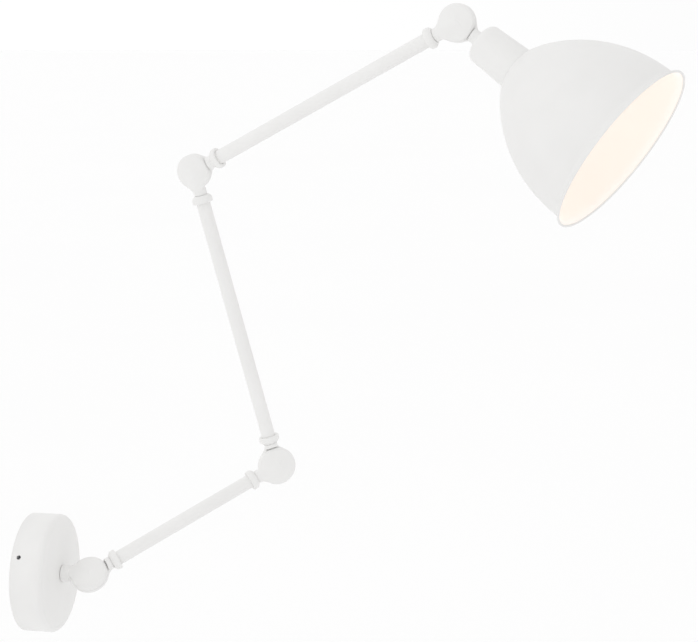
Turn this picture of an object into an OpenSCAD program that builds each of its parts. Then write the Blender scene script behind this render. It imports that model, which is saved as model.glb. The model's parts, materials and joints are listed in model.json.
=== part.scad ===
// Swing arm wall sconce: a round wall plate, three tube arms on friction
// knuckles and collar swivels, and a bell shade over a screw lampholder.
// Millimetres. The wall is the plane X = 0, +X leaves the wall, +Z is up.

/* [Wall plate] */
// Outside diameter of the canopy cup
canopy_d = 134; // [110:1:160]
// Depth of the canopy from the wall to its face
canopy_depth = 38; // [34:1:48]
// Sheet thickness of the canopy
canopy_wall = 1.5; // [1.2:0.1:2]
// Radius of the canopy's rounded front edge
canopy_edge = 6; // [4:0.5:9]
// Distance from the wall to the three grub screws
grub_height = 9; // [8:0.5:11]
// Distance between the two wall screw slots of the bracket
slot_spacing = 60; // [54:1:70]

/* [Knuckles] */
// Diameter of the knuckle at the wall
wall_knuckle_d = 42; // [38:0.5:46]
// Diameter of the knuckle between arms 1 and 2
elbow_1_d = 43.5; // [38:0.5:46]
// Diameter of the knuckle between arms 2 and 3
elbow_2_d = 39.5; // [38:0.5:46]
// Diameter of the knuckle at the head
head_knuckle_d = 41; // [38:0.5:46]
// Thickness of one knuckle half at its middle
half_thickness = 9; // [8.6:0.1:11]
// Thickness of one knuckle half at its rim
rim_thickness = 5.6; // [5:0.1:6.5]
// Diameter of the cast necks
neck_d = 15; // [14:0.1:15.5]
// Diameter of the pivot screws
pivot_d = 6; // [5:0.1:6]

/* [Arms] */
// Outside diameter of the arm tubes
tube_d = 16; // [15.8:0.1:18]
// Wall thickness of the arm tubes
tube_wall = 1.2; // [1:0.05:1.3]
// Outside diameter of the collars at the tube ends
collar_d = 23.6; // [21:0.1:24]
// Length of a collar
collar_length = 9; // [8.6:0.1:11]
// Arm 1, pivot to pivot
arm_1_length = 249; // [200:1:400]
// Arm 2, pivot to pivot
arm_2_length = 357; // [250:1:450]
// Arm 3, pivot to pivot
arm_3_length = 357; // [250:1:450]

/* [Head] */
// Outside diameter of the lampholder cup at the shade
cup_d = 46.6; // [46:0.2:50]
// Outside diameter of the lampholder cup at its top
cup_top_d = 43.4; // [43.4:0.2:46]
// Length of the lampholder cup
cup_length = 52; // [48:1:60]
// Outside diameter of the shade's rim
shade_d = 196; // [160:1:240]
// Height of the shade from its top to its rim
shade_height = 140; // [120:1:180]
// Sheet thickness of the shade
shade_wall = 0.9; // [0.8:0.1:1.5]

/* [Pose at rest] */
// Roll of the wall swivel about the wall's normal
wall_roll = 134.4; // [-180:0.1:180]
// Bend of the wall knuckle
wall_bend = 39.3; // [-90:0.1:90]
// Twist of arm 1 in its collar
arm_1_twist = 50.3; // [-150:0.1:150]
// Bend of the elbow between arms 1 and 2
elbow_1_bend = 78.4; // [-130:0.1:130]
// Twist of arm 2 in its collar
arm_2_twist = -39.7; // [-150:0.1:150]
// Bend of the elbow between arms 2 and 3
elbow_2_bend = -75.2; // [-130:0.1:130]
// Twist of the head knuckle in arm 3's collar
arm_3_twist = -12.4; // [-150:0.1:150]
// Bend of the head knuckle
head_bend = -62.2; // [-110:0.1:110]

/* [Hidden] */
$fn = 96;
eps = 0.01;
over = 1;              // how far a cutter reaches past the face that it cuts

// clearances
mating_gap = 0.3;     // between the two halves of a knuckle
neck_gap = 1.5;       // between a neck's end and the other half's rim
running = 0.05;       // radial gap of a pin or spigot that turns
axial_play = 0.05;    // along the axis, at washers that slide
swivel_gap = 0.4;     // between a collar's lip and the neck that turns in it

// knuckle details
screw_head_d = 11;
screw_head_h = 2.6;
hex_key = 4;
counterbore_d = 12;
counterbore_floor = 4.6;
spring_h = 0.6;
washer_d = 17;
washer_recess = 0.4;
washer_play = 0.4;
screw_hex_web = 0.8;   // metal left under the key's socket
thread_depth = 6.4;
thread_end_gap = 0.4;
boss_r = 9.6;          // solid boss round the pivot, inside the wire channel
channel_depth = 4;
channel_wall = 4;
wire_bore = 7.4;

// tube ends, measured from the pivot along the arm
neck_length = 28;                      // pivot to the neck's shoulder
lip_length = 1.6;                      // collar lip in front of the tube
tube_start = neck_length + lip_length;
spigot_length = 18;
tube_bore = tube_d - 2 * tube_wall;
groove_depth = 1.1;
groove_w = 3.2;
groove_at = tube_start + 4.2;
lock_screw_d = 4;
lock_tip_d = 2.6;
lock_tip_gap = 0.15;
lock_recess = 0.5;                     // screw's end below the collar's band
lock_key = 2;
lock_key_depth = 1.4;
collar_lip_rim = 1;                    // lip's flat beyond the neck's radius
collar_taper = 3;
collar_soften = 0.6;
collar_chamfer = 0.8;
flex_d = 5.6;
flex_overlap = 4;                      // flex reaches this far into the necks

// wall parts
canopy_r = canopy_d / 2;
canopy_dome = 1.2;                     // rise of the face at its middle
nipple_d = 10;
nipple_length = 18;
nipple_play = 0.4;                     // on the diameter, where the nipple passes
bracket_t = 2;
bracket_gap = 2.5;                     // between the tabs and the canopy's inside
bracket_r = canopy_r - canopy_wall - bracket_gap;
cable_hole_d = 28;
tab_t = 2.5;
tab_w = 16;
tab_h = 15;
tab_root = 4;                          // tab's foot reaches this far into the disc
slot_w = 5;
slot_travel = 14;
grub_d = 5;
grub_thread_d = grub_d - 0.1;
grub_key = 2.5;
grub_key_depth = 2.2;
grub_inside = 1.5;                     // grub screw's length inside the tab
grub_proud = 0.4;
grub_angles = [60, 180, 300];          // about X, one of them straight down
stub_d = 19;
stub_length = 33;                      // canopy face to the wall pivot
stub_turned = wall_knuckle_d / 2 + neck_gap + 1;
stub_cast_end = stub_turned + 1;       // slimmer casting up to the stub's turned part
face_gap = 0.3;                        // between the stub and the canopy's face
plate_d = 46;
plate_t = 2;
plate_from = canopy_depth - canopy_dome - canopy_wall - 0.1 - plate_t;
nut_af = 17;
nut_h = 5;
swivel_washer_d = 22;
swivel_washer_t = 1;
swivel_spring_d = 19;
swivel_spring_t = 0.8;
block_size = [14, 30, 12];
block_z = 24;
block_ways = 3;
block_pitch = 10;
block_way_d = 3.4;
block_way_depth = 7;
earth_z = -34;
earth_head_d = 8;
earth_head_h = 3.4;
earth_slot_w = 1;
earth_slot_depth = 1.2;

// head parts, measured from the head pivot along the shade's axis
foot_length = 5;
foot_spread = 6;                       // foot's diameter beyond the neck's
cup_start = 33;
cup_wall = 1.6;
cup_shoulder = 7;
cup_end = cup_start + cup_length;
cup_nipple = 11;
cup_nut_af = 14;
cup_nut_h = 3;
holder_gap = 0.7;                      // between the lampholder and the cup
holder_d = cup_top_d - 2 * (cup_wall + holder_gap);
holder_start = cup_start + cup_nipple + 3;
holder_below = 18;                     // lampholder's reach into the shade
holder_end = cup_end + holder_below;
holder_cap = 4;
holder_cap_taper = 8;
holder_wire_d = 9;
lamp_thread_d = 26.6;
lamp_thread_depth = 32;
shell_t = 0.5;
shell_inset = 5;
socket_from = holder_end - lamp_thread_depth;
contact_room_d = 14;
contact_room_h = 4;
contact_size = [10, 5, 0.6];
contact_point_h = 3.2;
ring_h = 7;
ring_flange_h = 2;
ring_rib = 1.2;
ring_rib_w = 3;
ring_rib_angle = 30;
shade_hole_play = 0.3;
shade_start = cup_end;
shade_flat_r = cup_d / 2 + 1;          // flat top that the cup and ring clamp
ring_d = 2 * shade_flat_r - 1.5;
shade_power_out = 1.23;                // roundness of the bell at its top
shade_power_along = 2.15;              // roundness of the bell towards its rim
flare_r = 9;
flare_angle = 60;
bead_r = 1.3;
bead_drop = 0.4;
shade_steps = 26;
flare_steps = 6;

// ---------------------------------------------------------------- frames
// Every frame has +Z along the arm and +Y along the knuckle's pivot.

module at_wall() {
    translate([canopy_depth + stub_length, 0, 0])
        rotate([0, 90, 0]) rotate([0, 0, wall_roll]) children();
}

module at_arm_1_knuckle() {
    at_wall() rotate([0, wall_bend, 0]) children();
}

module at_arm_1() {
    at_arm_1_knuckle() rotate([0, 0, arm_1_twist]) children();
}

module at_elbow_1() {
    at_arm_1() translate([0, 0, arm_1_length]) children();
}

module at_arm_2_knuckle() {
    at_elbow_1() rotate([0, elbow_1_bend, 0]) children();
}

module at_arm_2() {
    at_arm_2_knuckle() rotate([0, 0, arm_2_twist]) children();
}

module at_elbow_2() {
    at_arm_2() translate([0, 0, arm_2_length]) children();
}

module at_arm_3() {
    at_elbow_2() rotate([0, elbow_2_bend, 0]) children();
}

module at_head_knuckle() {
    at_arm_3() translate([0, 0, arm_3_length]) rotate([0, 0, arm_3_twist]) children();
}

module at_head() {
    at_head_knuckle() rotate([0, head_bend, 0]) children();
}

module along_y() {
    rotate([-90, 0, 0]) children();
}

// A ring or tube from z = from to z = to.
module tube(outer, inner, from, to) {
    difference() {
        translate([0, 0, from]) cylinder(d = outer, h = to - from);
        translate([0, 0, from - over]) cylinder(d = inner, h = to - from + 2 * over);
    }
}

// --------------------------------------------------------------- knuckles
// A domed disc on the +Y side of the pivot plane.
module domed_disc(d) {
    rise = half_thickness - rim_thickness;
    dome_r = (d * d / 4 + rise * rise) / (2 * rise);
    along_y() intersection() {
        translate([0, 0, mating_gap / 2])
            cylinder(d = d, h = half_thickness - mating_gap / 2);
        translate([0, 0, half_thickness - dome_r]) sphere(r = dome_r, $fn = 180);
    }
}

// The neck along +Z, cut back to clear the other half's rim.
module neck(d, neck_to, neck_diameter) {
    difference() {
        cylinder(d = neck_diameter, h = neck_to);
        along_y() translate([0, 0, -half_thickness * 2])
            cylinder(d = d + 2 * neck_gap, h = half_thickness * 2 + mating_gap / 2);
    }
}

// The room inside one half: washer recess, wire channel round the boss, wire
// bore along the neck and the pivot's bore.
module knuckle_room(d, bore_to) {
    recess_to = mating_gap / 2 + washer_recess;
    along_y() translate([0, 0, -half_thickness])
        cylinder(d = washer_d + washer_play, h = half_thickness + recess_to);
    along_y() difference() {
        translate([0, 0, -half_thickness])
            cylinder(d = d - 2 * channel_wall, h = half_thickness + channel_depth);
        translate([0, 0, -half_thickness - over])
            cylinder(r = boss_r, h = half_thickness + channel_depth + 2 * over);
    }
    translate([0, 0, boss_r + over]) cylinder(d = wire_bore, h = bore_to);
}

// Front half: takes the screw's thread in a blind bore.
module front_half(d, neck_to, neck_diameter = neck_d) {
    difference() {
        union() {
            domed_disc(d);
            neck(d, neck_to, neck_diameter);
            children();
        }
        knuckle_room(d, neck_to + spigot_length + stub_length);
        along_y() translate([0, 0, -half_thickness])
            cylinder(d = pivot_d, h = half_thickness + thread_depth);
    }
}

// Rear half: turns on the screw, whose head sits in the counterbore.
module rear_half(d, neck_to, bore_to) {
    mirror([0, 1, 0]) difference() {
        union() {
            domed_disc(d);
            neck(d, neck_to, neck_d);
            children();
        }
        knuckle_room(d, bore_to);
        along_y() translate([0, 0, -half_thickness])
            cylinder(d = pivot_d + 2 * running, h = 3 * half_thickness);
        along_y() translate([0, 0, counterbore_floor])
            cylinder(d = counterbore_d, h = half_thickness);
    }
}

// Socket screw: shank into the front half, head in the rear counterbore.
module pivot_screw() {
    head_from = counterbore_floor + axial_play + spring_h;
    tip = thread_depth - thread_end_gap;
    rotate([90, 0, 0]) difference() {
        union() {
            translate([0, 0, -tip]) cylinder(d = pivot_d, h = head_from + tip + eps);
            translate([0, 0, head_from]) cylinder(d = screw_head_d, h = screw_head_h);
        }
        translate([0, 0, head_from + screw_hex_web])
            cylinder(d = hex_key / cos(30), h = screw_head_h, $fn = 6);
    }
}

// Spring washer under the screw's head.
module spring_washer() {
    rotate([90, 0, 0])
        tube(screw_head_d - 0.6, pivot_d, counterbore_floor + axial_play,
             counterbore_floor + axial_play + spring_h);
}

// Fibre friction washer between the two halves, seated in the front one.
module friction_washer() {
    seat = mating_gap / 2 + washer_recess;
    rotate([90, 0, 0]) tube(washer_d, pivot_d, -seat, seat - axial_play);
}

// --------------------------------------------------------------- tube ends
// Spigot on a neck's end, plain where it is fixed in the tube.
module spigot(from) {
    translate([0, 0, from - eps]) cylinder(d = tube_bore, h = spigot_length + eps);
}

// Spigot that turns in the tube, with a groove for the lock screw's tip.
module grooved_spigot(from) {
    d = tube_bore - 2 * running;
    difference() {
        translate([0, 0, from - eps]) cylinder(d = d, h = spigot_length + eps);
        translate([0, 0, groove_at - groove_w / 2]) difference() {
            cylinder(d = d + 2 * over, h = groove_w);
            translate([0, 0, -over]) cylinder(d = d - 2 * groove_depth, h = groove_w + 2 * over);
        }
    }
}

// Collar over a tube end: a lip at the neck, a taper and a plain band.
module collar(lip_gap) {
    lip_from = neck_length + lip_gap;
    band_from = neck_length + collar_taper;
    to = neck_length + collar_length;
    difference() {
        rotate_extrude() polygon([
            [tube_bore / 2 - over, lip_from],
            [neck_d / 2 + collar_lip_rim, lip_from],
            [collar_d / 2 - collar_soften, band_from - collar_soften],
            [collar_d / 2, band_from],
            [collar_d / 2, to - collar_chamfer],
            [collar_d / 2 - collar_chamfer, to],
            [tube_bore / 2 - over, to]
        ]);
        translate([0, 0, neck_length - over]) cylinder(d = tube_bore, h = collar_length + 2 * over);
        translate([0, 0, tube_start]) cylinder(d = tube_d, h = collar_length + over);
    }
}

// Collar at a swivel: the lip runs on the spigot and a lock screw crosses it.
module swivel_collar() {
    difference() {
        collar(swivel_gap);
        lock_screw_hole();
    }
}

module lock_screw_hole() {
    translate([0, 0, groove_at]) rotate([90, 0, 0]) cylinder(d = lock_screw_d, h = collar_d);
}

// Lock screw: body in the collar and the tube's wall, tip in the groove.
module lock_screw() {
    tip_r = tube_bore / 2 - running - groove_depth + lock_tip_gap;
    body_from = tube_bore / 2 + lock_tip_gap;
    body_to = collar_d / 2 - lock_recess;
    translate([0, 0, groove_at]) rotate([90, 0, 0]) difference() {
        union() {
            translate([0, 0, tip_r]) cylinder(d = lock_tip_d, h = body_from - tip_r + eps);
            translate([0, 0, body_from]) cylinder(d = lock_screw_d, h = body_to - body_from);
        }
        translate([0, 0, body_to - lock_key_depth])
            cylinder(d = lock_key / cos(30), h = lock_key_depth + over, $fn = 6);
    }
}

// An arm tube between two pivots, with a lock screw hole at a swivel end.
module arm_tube(length, low_swivel, high_swivel) {
    difference() {
        tube(tube_d, tube_bore, tube_start, length - tube_start);
        if (low_swivel) lock_screw_hole();
        if (high_swivel) translate([0, 0, length]) mirror([0, 0, 1]) lock_screw_hole();
    }
}

// The flex inside one arm, from neck to neck.
module arm_flex(length) {
    from = neck_length - flex_overlap;
    translate([0, 0, from]) cylinder(d = flex_d, h = length - 2 * from);
}

module at_end(length) {
    translate([0, 0, length]) mirror([0, 0, 1]) children();
}

// -------------------------------------------------------------- wall parts
module from_wall() {
    rotate([0, 90, 0]) children();
}

module at_grubs() {
    for (a = grub_angles) rotate([a, 0, 0]) children();
}

// Outline of the canopy's outside or, with a wall taken off, its inside.
module canopy_profile(r, depth, edge, rise) {
    flat_r = r - edge;
    dome_r = (flat_r * flat_r + rise * rise) / (2 * rise);
    rotate_extrude() union() {
        square([r, depth - rise - edge]);
        square([flat_r, depth - rise]);
        translate([flat_r, depth - rise - edge]) intersection() {
            circle(r = edge);
            square(edge + 1);
        }
        intersection() {
            translate([0, depth - dome_r]) circle(r = dome_r, $fn = 360);
            translate([0, depth - rise - eps]) square([flat_r, rise + 1]);
        }
    }
}

module canopy() {
    color("white") difference() {
        from_wall() difference() {
            canopy_profile(canopy_r, canopy_depth, canopy_edge, canopy_dome);
            translate([0, 0, -eps])
                canopy_profile(canopy_r - canopy_wall, canopy_depth - canopy_wall + eps,
                               canopy_edge - canopy_wall, canopy_dome);
            cylinder(d = nipple_d + nipple_play, h = canopy_depth + over);
        }
        at_grubs() translate([grub_height, 0, bracket_r]) cylinder(d = grub_d, h = canopy_r);
    }
}

module canopy_screws() {
    from = bracket_r - tab_t - grub_inside;
    to = canopy_r + grub_proud;
    color("dimgray") at_grubs() translate([grub_height, 0, 0]) difference() {
        translate([0, 0, from]) cylinder(d = grub_thread_d, h = to - from);
        translate([0, 0, to - grub_key_depth])
            cylinder(d = grub_key / cos(30), h = grub_key_depth + over, $fn = 6);
    }
}

// One wall screw slot, cut through the bracket.
module wall_slot(y) {
    for (end = [-1, 1])
        translate([-over, y + end * slot_travel / 2, 0])
            from_wall() cylinder(d = slot_w, h = bracket_t + 2 * over);
    translate([-over, y - slot_travel / 2, -slot_w / 2])
        cube([bracket_t + 2 * over, slot_travel, slot_w]);
}

module wall_bracket() {
    tab_from = bracket_r - tab_t;
    color("silver") difference() {
        union() {
            from_wall() cylinder(r = tab_from, h = bracket_t);
            at_grubs() translate([0, -tab_w / 2, tab_from - tab_root])
                cube([bracket_t, tab_w, tab_root + tab_t]);
            at_grubs() translate([0, -tab_w / 2, tab_from]) cube([tab_h, tab_w, tab_t]);
        }
        from_wall() translate([0, 0, -over]) cylinder(d = cable_hole_d, h = bracket_t + 2 * over);
        for (side = [-1, 1]) wall_slot(side * slot_spacing / 2);
        at_grubs() translate([grub_height, 0, tab_from - over])
            cylinder(d = grub_thread_d, h = tab_t + 2 * over);
    }
}

// Push-in terminal block on the bracket.
module terminal_block() {
    first = (block_size[1] - (block_ways - 1) * block_pitch) / 2;
    color("ivory") translate([bracket_t, -block_size[1] / 2, block_z]) difference() {
        cube(block_size);
        for (way = [0:block_ways - 1])
            translate([block_size[0] / 2, first + way * block_pitch, -over])
                cylinder(d = block_way_d, h = block_way_depth + over);
    }
}

// Earth screw on the bracket, with a slotted head.
module earth_screw() {
    color("goldenrod") translate([bracket_t, 0, earth_z]) from_wall() difference() {
        cylinder(d = earth_head_d, h = earth_head_h);
        translate([-earth_head_d, -earth_slot_w / 2, earth_head_h - earth_slot_depth])
            cube([2 * earth_head_d, earth_slot_w, earth_slot_depth + over]);
    }
}

// Stiffening disc behind the canopy's face, where the stub turns.
module stiffener() {
    color("silver") from_wall()
        tube(plate_d, nipple_d + nipple_play, plate_from, plate_from + plate_t);
}

// ------------------------------------------------------------ wall swivel
module wall_stub() {
    face = stub_length - face_gap;
    color("white") at_wall() mirror([0, 0, 1])
        front_half(wall_knuckle_d, stub_cast_end, stub_d - 1) {
            translate([0, 0, stub_turned]) cylinder(d = stub_d, h = face - stub_turned);
            translate([0, 0, face - eps]) cylinder(d = nipple_d, h = nipple_length);
        }
}

// Friction washer, spring and nut on the stub's nipple, inside the canopy.
module at_nipple() {
    translate([plate_from, 0, 0]) rotate([0, -90, 0]) children();
}

module swivel_washer() {
    color("saddlebrown") at_nipple()
        tube(swivel_washer_d, nipple_d, axial_play, axial_play + swivel_washer_t);
}

module swivel_spring() {
    from = axial_play + swivel_washer_t;
    color("silver") at_nipple()
        tube(swivel_spring_d, nipple_d, from, from + swivel_spring_t);
}

module swivel_nut() {
    from = axial_play + swivel_washer_t + swivel_spring_t;
    color("silver") at_nipple() translate([0, 0, from]) difference() {
        cylinder(d = nut_af / cos(30), h = nut_h, $fn = 6);
        translate([0, 0, -over]) cylinder(d = nipple_d, h = nut_h + 2 * over);
    }
}

module wall_friction_washer() {
    color("saddlebrown") at_wall() friction_washer();
}

module wall_pivot_screw() {
    color("dimgray") at_wall() pivot_screw();
}

module wall_spring_washer() {
    color("silver") at_wall() spring_washer();
}

// ------------------------------------------------------------------ arm 1
module arm_1_knuckle() {
    color("white") at_arm_1_knuckle()
        rear_half(wall_knuckle_d, neck_length, neck_length + spigot_length)
            grooved_spigot(neck_length);
}

module arm_1_tube() {
    color("white") at_arm_1() arm_tube(arm_1_length, true, false);
}

module arm_1_swivel_collar() {
    color("white") at_arm_1() swivel_collar();
}

module arm_1_lock_screw() {
    color("dimgray") at_arm_1() lock_screw();
}

module arm_1_end_collar() {
    color("white") at_arm_1() at_end(arm_1_length) collar(0);
}

module arm_1_flex() {
    color("gray") at_arm_1() arm_flex(arm_1_length);
}

module elbow_1_front() {
    color("white") at_elbow_1() mirror([0, 0, 1])
        front_half(elbow_1_d, neck_length) spigot(neck_length);
}

module elbow_1_friction_washer() {
    color("saddlebrown") at_elbow_1() friction_washer();
}

module elbow_1_pivot_screw() {
    color("dimgray") at_elbow_1() pivot_screw();
}

module elbow_1_spring_washer() {
    color("silver") at_elbow_1() spring_washer();
}

// ------------------------------------------------------------------ arm 2
module elbow_1_rear() {
    color("white") at_arm_2_knuckle()
        rear_half(elbow_1_d, neck_length, neck_length + spigot_length)
            grooved_spigot(neck_length);
}

module arm_2_tube() {
    color("white") at_arm_2() arm_tube(arm_2_length, true, false);
}

module arm_2_swivel_collar() {
    color("white") at_arm_2() swivel_collar();
}

module arm_2_lock_screw() {
    color("dimgray") at_arm_2() lock_screw();
}

module arm_2_end_collar() {
    color("white") at_arm_2() at_end(arm_2_length) collar(0);
}

module arm_2_flex() {
    color("gray") at_arm_2() arm_flex(arm_2_length);
}

module elbow_2_front() {
    color("white") at_elbow_2() mirror([0, 0, 1])
        front_half(elbow_2_d, neck_length) spigot(neck_length);
}

module elbow_2_friction_washer() {
    color("saddlebrown") at_elbow_2() friction_washer();
}

module elbow_2_pivot_screw() {
    color("dimgray") at_elbow_2() pivot_screw();
}

module elbow_2_spring_washer() {
    color("silver") at_elbow_2() spring_washer();
}

// ------------------------------------------------------------------ arm 3
module elbow_2_rear() {
    color("white") at_arm_3()
        rear_half(elbow_2_d, neck_length, neck_length + spigot_length)
            spigot(neck_length);
}

module arm_3_end_collar() {
    color("white") at_arm_3() collar(0);
}

module arm_3_tube() {
    color("white") at_arm_3() arm_tube(arm_3_length, false, true);
}

module arm_3_swivel_collar() {
    color("white") at_arm_3() at_end(arm_3_length) swivel_collar();
}

module arm_3_lock_screw() {
    color("dimgray") at_arm_3() at_end(arm_3_length) lock_screw();
}

module arm_3_flex() {
    color("gray") at_arm_3() arm_flex(arm_3_length);
}

// ------------------------------------------------------------------- head
module head_knuckle_front() {
    color("white") at_head_knuckle() mirror([0, 0, 1])
        front_half(head_knuckle_d, neck_length) grooved_spigot(neck_length);
}

module head_friction_washer() {
    color("saddlebrown") at_head_knuckle() friction_washer();
}

module head_pivot_screw() {
    color("dimgray") at_head_knuckle() pivot_screw();
}

module head_spring_washer() {
    color("silver") at_head_knuckle() spring_washer();
}

// Rear half of the head knuckle with a flared foot and a hollow nipple.
module head_knuckle_rear() {
    foot_from = cup_start - foot_length;
    color("white") at_head() rear_half(head_knuckle_d, foot_from + over, cup_start + cup_nipple) {
        translate([0, 0, foot_from])
            cylinder(d1 = neck_d, d2 = neck_d + foot_spread, h = foot_length);
        translate([0, 0, cup_start - eps]) cylinder(d = nipple_d, h = cup_nipple);
    }
}

// Closed cup that hides the lampholder, with a rounded shoulder and a slight cone to end_d.
module cup_solid(d, end_d, from, to, shoulder) {
    translate([0, 0, from]) rotate_extrude() union() {
        polygon([[0, shoulder], [d / 2, shoulder], [end_d / 2, to - from], [0, to - from]]);
        square([d / 2 - shoulder, shoulder + eps]);
        translate([d / 2 - shoulder, shoulder]) intersection() {
            circle(r = shoulder);
            translate([0, -shoulder]) square(shoulder);
        }
    }
}

module lampholder_cup() {
    color("white") at_head() difference() {
        cup_solid(cup_top_d, cup_d, cup_start, cup_end, cup_shoulder);
        cup_solid(cup_top_d - 2 * cup_wall, cup_d - 2 * cup_wall, cup_start + cup_wall,
                  cup_end + over, cup_shoulder - cup_wall);
        translate([0, 0, cup_start - over]) cylinder(d = nipple_d, h = cup_wall + 2 * over);
    }
}

module cup_nut() {
    color("silver") at_head() translate([0, 0, cup_start + cup_wall]) difference() {
        cylinder(d = cup_nut_af / cos(30), h = cup_nut_h, $fn = 6);
        translate([0, 0, -over]) cylinder(d = nipple_d, h = cup_nut_h + 2 * over);
    }
}

// Moulded lampholder: a tapered cap over a skirt with the lamp's socket.
module lampholder() {
    shell_d = lamp_thread_d + 2 * shell_t;
    skirt_from = holder_start + holder_cap;
    room_from = socket_from - contact_room_h;
    color("ivory") at_head() difference() {
        union() {
            translate([0, 0, holder_start])
                cylinder(d1 = holder_d - holder_cap_taper, d2 = holder_d, h = holder_cap);
            translate([0, 0, skirt_from - eps])
                cylinder(d = holder_d, h = holder_end - skirt_from + eps);
        }
        translate([0, 0, socket_from]) cylinder(d = shell_d, h = lamp_thread_depth + over);
        translate([0, 0, room_from]) cylinder(d = contact_room_d, h = contact_room_h + over);
        translate([0, 0, holder_start - over])
            cylinder(d = holder_wire_d, h = room_from - holder_start - over);
    }
}

// Threaded shell of the lamp's socket.
module socket_shell() {
    color("gold") at_head()
        tube(lamp_thread_d + 2 * shell_t, lamp_thread_d, socket_from, holder_end - shell_inset);
}

// Centre contact tongue.
module centre_contact() {
    color("gold") at_head() translate([0, 0, socket_from - contact_room_h]) {
        translate([-contact_size[0] / 2, -contact_size[1] / 2, 0]) cube(contact_size);
        translate([0, 0, contact_size[2] - eps])
            cylinder(d1 = contact_size[1], d2 = contact_size[1] - 2, h = contact_point_h);
    }
}

// Ring that clamps the shade to the cup, ribbed for the fingers.
module shade_ring() {
    from = shade_start + shade_wall;
    color("ivory") at_head() difference() {
        union() {
            translate([0, 0, from]) cylinder(d = ring_d, h = ring_flange_h);
            translate([0, 0, from + ring_flange_h - eps])
                cylinder(d = ring_d - 2 * ring_rib, h = ring_h - ring_flange_h + eps);
            for (a = [0:ring_rib_angle:360 - ring_rib_angle])
                rotate([0, 0, a]) translate([ring_d / 2 - 2 * ring_rib, -ring_rib_w / 2, from + over])
                    cube([2 * ring_rib, ring_rib_w, ring_h - over]);
        }
        translate([0, 0, from - over]) cylinder(d = holder_d, h = ring_h + 2 * over);
    }
}

// Points along the bell, from its shoulder to the start of the flare.
function bell(r_top, r_rim, from, to) = [
    for (i = [0:shade_steps])
        let (a = 90 * i / shade_steps, u = 1 - pow(cos(a), 2 / shade_power_along),
             v = pow(sin(a), 2 / shade_power_out))
            [r_top + (r_rim - r_top) * v, from + (to - from) * u]
];

// Points along the flare at the rim; inset is the sheet's thickness.
function flare(r_rim, from, inset) = [
    for (i = [1:flare_steps])
        let (a = flare_angle * i / flare_steps, r = flare_r + inset)
            [r_rim - inset + r * (1 - cos(a)), from + r * sin(a)]
];

module shade() {
    rim_r = shade_d / 2 - flare_r * (1 - cos(flare_angle)) - bead_r;
    bell_end = shade_start + shade_height - flare_r * sin(flare_angle) - bead_r;
    hole_r = holder_d / 2 + shade_hole_play;
    outside = concat([[hole_r, shade_start]], bell(shade_flat_r, rim_r, shade_start, bell_end),
                     flare(rim_r, bell_end, 0));
    inside = concat([[hole_r, shade_start + shade_wall]],
                    bell(shade_flat_r - shade_wall / 2, rim_r - shade_wall,
                         shade_start + shade_wall, bell_end),
                    flare(rim_r, bell_end, shade_wall));
    last = outside[len(outside) - 1];
    color("white") at_head() rotate_extrude($fn = 180) union() {
        polygon(concat(outside, [for (i = [len(inside) - 1:-1:0]) inside[i]]));
        translate([last[0] - shade_wall / 4, last[1] + bead_drop]) circle(r = bead_r, $fn = 32);
    }
}

// Flex through the wall stub and through the head's nipple.
module stub_flex() {
    color("gray") at_wall() mirror([0, 0, 1])
        translate([0, 0, wall_knuckle_d / 2])
            cylinder(d = flex_d, h = stub_length + flex_overlap);
}

module head_flex() {
    from = head_knuckle_d / 2 + over;
    color("gray") at_head() translate([0, 0, from])
        cylinder(d = flex_d, h = holder_start + flex_overlap - from);
}

wall_bracket();
canopy();
canopy_screws();
terminal_block();
earth_screw();
stiffener();
wall_stub();
swivel_washer();
swivel_spring();
swivel_nut();
stub_flex();
wall_friction_washer();
wall_pivot_screw();
wall_spring_washer();
arm_1_knuckle();
arm_1_tube();
arm_1_swivel_collar();
arm_1_lock_screw();
arm_1_end_collar();
arm_1_flex();
elbow_1_front();
elbow_1_friction_washer();
elbow_1_pivot_screw();
elbow_1_spring_washer();
elbow_1_rear();
arm_2_tube();
arm_2_swivel_collar();
arm_2_lock_screw();
arm_2_end_collar();
arm_2_flex();
elbow_2_front();
elbow_2_friction_washer();
elbow_2_pivot_screw();
elbow_2_spring_washer();
elbow_2_rear();
arm_3_end_collar();
arm_3_tube();
arm_3_swivel_collar();
arm_3_lock_screw();
arm_3_flex();
head_knuckle_front();
head_friction_washer();
head_pivot_screw();
head_spring_washer();
head_knuckle_rear();
head_flex();
lampholder_cup();
cup_nut();
lampholder();
socket_shell();
centre_contact();
shade_ring();
shade();
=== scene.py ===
"""Swing arm wall sconce: cast knuckles, drawn tubes, turned collars and a spun bell shade."""

import json
import math
from itertools import product

import bmesh
import bpy
import numpy as np
from bpy.props import FloatProperty, FloatVectorProperty, IntProperty, PointerProperty
from mathutils import Matrix, Vector

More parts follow.
